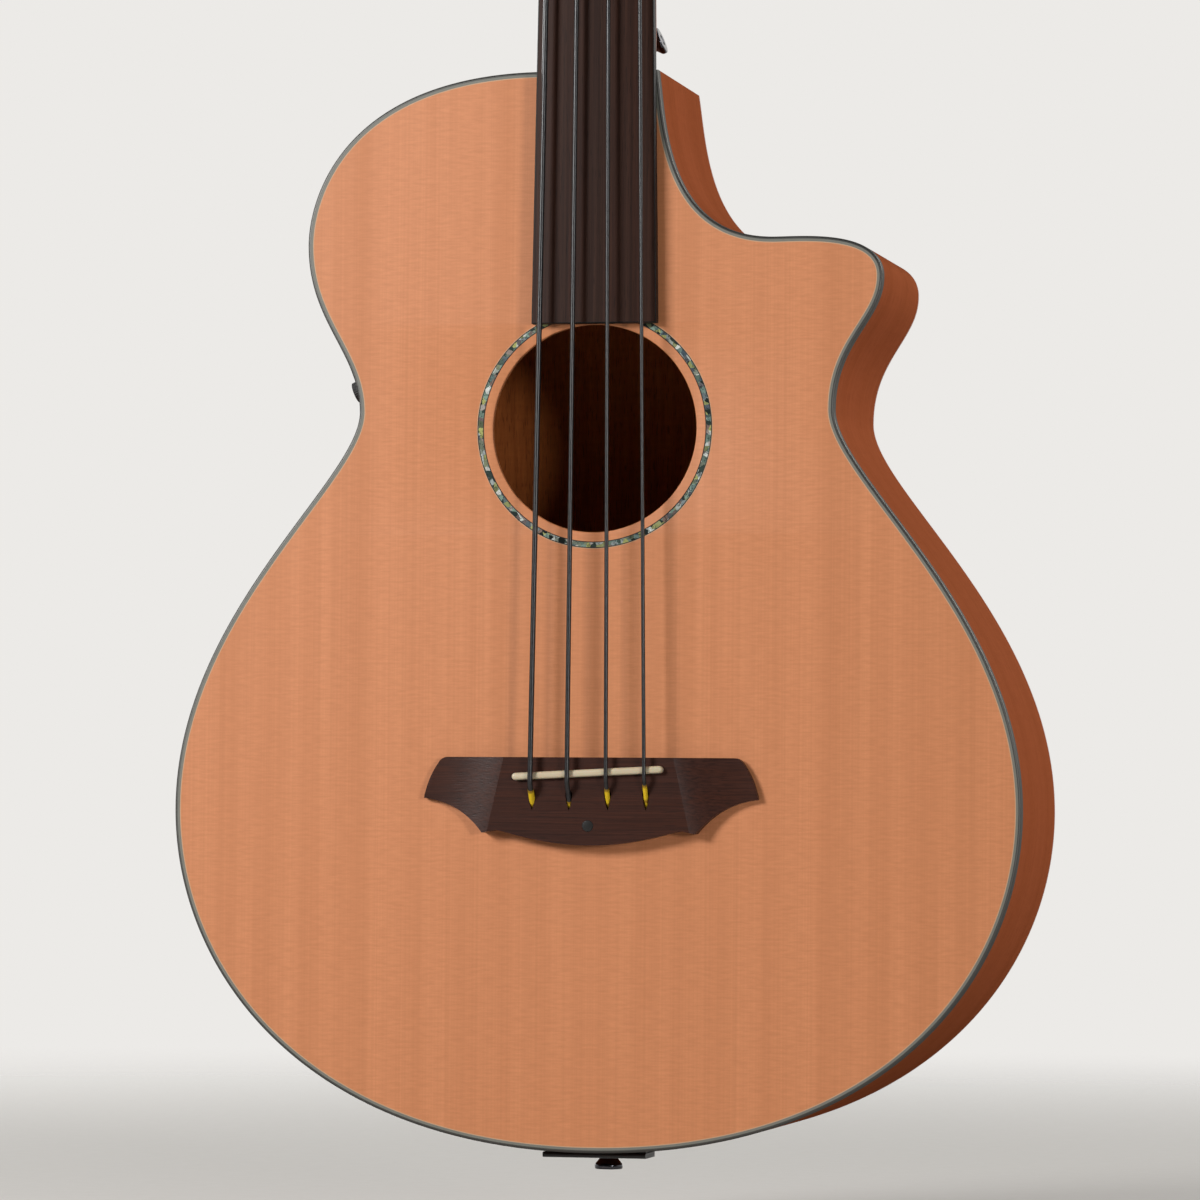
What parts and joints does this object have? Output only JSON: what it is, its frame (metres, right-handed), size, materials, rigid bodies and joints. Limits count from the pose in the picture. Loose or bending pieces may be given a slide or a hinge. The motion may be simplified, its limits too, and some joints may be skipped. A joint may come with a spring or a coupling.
{
  "type": "acoustic bass guitar",
  "caption": "Thin-waisted acoustic bass guitar with a cutaway, round soundhole, shell ring, glued bridge, fretless fingerboard, geared tuners and side control panel.",
  "frame": {"origin": "on the centre line at the nut end of the fingerboard, in the plane of the soundboard's front face", "axes": "+X to the treble side with the cutaway, -Y out of the front, +Z along the neck to the headstock"},
  "size_m": [0.4204, 0.1431, 1.2435],
  "materials": {
    "cedar": "satin",
    "mahogany": "satin",
    "spruce": "matte",
    "dark_wood": "satin",
    "black_plastic": "satin",
    "shell": "gloss",
    "bone": "satin",
    "string": "satin",
    "chrome": "polished",
    "steel": "satin",
    "battery": "satin"
  },
  "bodies": {
    "instrument": {"soundboard": "cedar", "side_bass": "mahogany", "side_treble": "mahogany", "back_plate": "mahogany", "neck": "mahogany", "neck_block": "mahogany", "tail_block": "mahogany", "lining_top": "spruce", "lining_back": "spruce", "cross_brace_bass": "spruce", "cross_brace_treble": "spruce", "transverse_brace": "spruce", "tone_bar": "spruce", "bridge_plate": "spruce", "back_brace_upper": "spruce", "back_brace_middle": "spruce", "back_brace_lower": "spruce", "bridge": "dark_wood", "fingerboard": "dark_wood", "headstock_face": "dark_wood", "top_binding": "black_plastic", "fingerboard_edging": "black_plastic", "control_panel": "black_plastic", "control_housing": "black_plastic", "battery_box": "black_plastic", "bridge_dot": "black_plastic", "truss_rod_cover": "black_plastic", "rosette_ring": "shell", "nut": "bone", "saddle": "bone", "string_e": "string", "string_a": "string", "string_d": "string", "string_g": "string", "end_pin": "chrome", "heel_button": "chrome", "tuner_bushing_e": "chrome", "tuner_base_e": "chrome", "tuner_bushing_a": "chrome", "tuner_base_a": "chrome", "tuner_bushing_d": "chrome", "tuner_base_d": "chrome", "tuner_bushing_g": "chrome", "tuner_base_g": "chrome", "truss_rod": "steel", "saddle_pickup": "steel", "battery": "battery"},
    "volume_knob": {"volume_knob": "black_plastic"},
    "bass_knob": {"bass_knob": "black_plastic"},
    "treble_knob": {"treble_knob": "black_plastic"},
    "tuner_button": {"tuner_button": "black_plastic"},
    "battery_door": {"battery_door": "black_plastic"},
    "tuner_post_e": {"tuner_post_e": "chrome"},
    "tuner_post_a": {"tuner_post_a": "chrome"},
    "tuner_post_d": {"tuner_post_d": "chrome"},
    "tuner_post_g": {"tuner_post_g": "chrome"},
    "tuner_key_e": {"tuner_key_e": "chrome"},
    "tuner_key_a": {"tuner_key_a": "chrome"},
    "tuner_key_d": {"tuner_key_d": "chrome"},
    "tuner_key_g": {"tuner_key_g": "chrome"}
  },
  "joints": [
    {"name": "volume_knob_turn", "type": "hinge", "parent": "instrument", "child": "volume_knob", "pos_m": [-0.12353, 0.044, -0.67128], "axis": [-0.9332, 0, -0.3594], "range_deg": [-140, 140]},
    {"name": "bass_knob_turn", "type": "hinge", "parent": "instrument", "child": "bass_knob", "pos_m": [-0.12856, 0.057, -0.65822], "axis": [-0.9332, 0, -0.3594], "range_deg": [-140, 140]},
    {"name": "treble_knob_turn", "type": "hinge", "parent": "instrument", "child": "treble_knob", "pos_m": [-0.13359, 0.057, -0.64515], "axis": [-0.9332, 0, -0.3594], "range_deg": [-140, 140]},
    {"name": "tuner_button_press", "type": "slide", "parent": "instrument", "child": "tuner_button", "axis": [0.9332, 0, 0.3594], "range_m": [0, 0.0015], "stiffness_N_per_m": 200, "springref_m": -0.0005},
    {"name": "battery_door_swing", "type": "hinge", "parent": "instrument", "child": "battery_door", "pos_m": [0, 0.0123, -1.04928], "axis": [-1, 0, 0], "range_deg": [0, 105]},
    {"name": "tuner_key_e_turn", "type": "hinge", "parent": "instrument", "child": "tuner_key_e", "pos_m": [-0.024, 0.02948, 0.03701], "axis": [-1, 0, 0], "continuous": true},
    {"name": "tuner_post_e_turn", "type": "hinge", "parent": "instrument", "child": "tuner_post_e", "pos_m": [-0.024, 0.00982, 0.05606], "axis": [0, -0.982, 0.1889], "continuous": true},
    {"name": "tuner_key_a_turn", "type": "hinge", "parent": "instrument", "child": "tuner_key_a", "pos_m": [-0.019, 0.04458, 0.11557], "axis": [-1, 0, 0], "continuous": true},
    {"name": "tuner_post_a_turn", "type": "hinge", "parent": "instrument", "child": "tuner_post_a", "pos_m": [-0.019, 0.02493, 0.13462], "axis": [0, -0.982, 0.1889], "continuous": true},
    {"name": "tuner_key_d_turn", "type": "hinge", "parent": "instrument", "child": "tuner_key_d", "pos_m": [0.019, 0.04458, 0.11557], "axis": [1, 0, 0], "continuous": true},
    {"name": "tuner_post_d_turn", "type": "hinge", "parent": "instrument", "child": "tuner_post_d", "pos_m": [0.019, 0.02493, 0.13462], "axis": [0, -0.982, 0.1889], "continuous": true},
    {"name": "tuner_key_g_turn", "type": "hinge", "parent": "instrument", "child": "tuner_key_g", "pos_m": [0.024, 0.02948, 0.03701], "axis": [1, 0, 0], "continuous": true},
    {"name": "tuner_post_g_turn", "type": "hinge", "parent": "instrument", "child": "tuner_post_g", "pos_m": [0.024, 0.00982, 0.05606], "axis": [0, -0.982, 0.1889], "continuous": true}
  ],
  "couplings": [
    {"joint": "tuner_post_e_turn", "follows": "tuner_key_e_turn", "ratio": -0.05},
    {"joint": "tuner_post_a_turn", "follows": "tuner_key_a_turn", "ratio": -0.05},
    {"joint": "tuner_post_d_turn", "follows": "tuner_key_d_turn", "ratio": 0.05},
    {"joint": "tuner_post_g_turn", "follows": "tuner_key_g_turn", "ratio": 0.05}
  ]
}
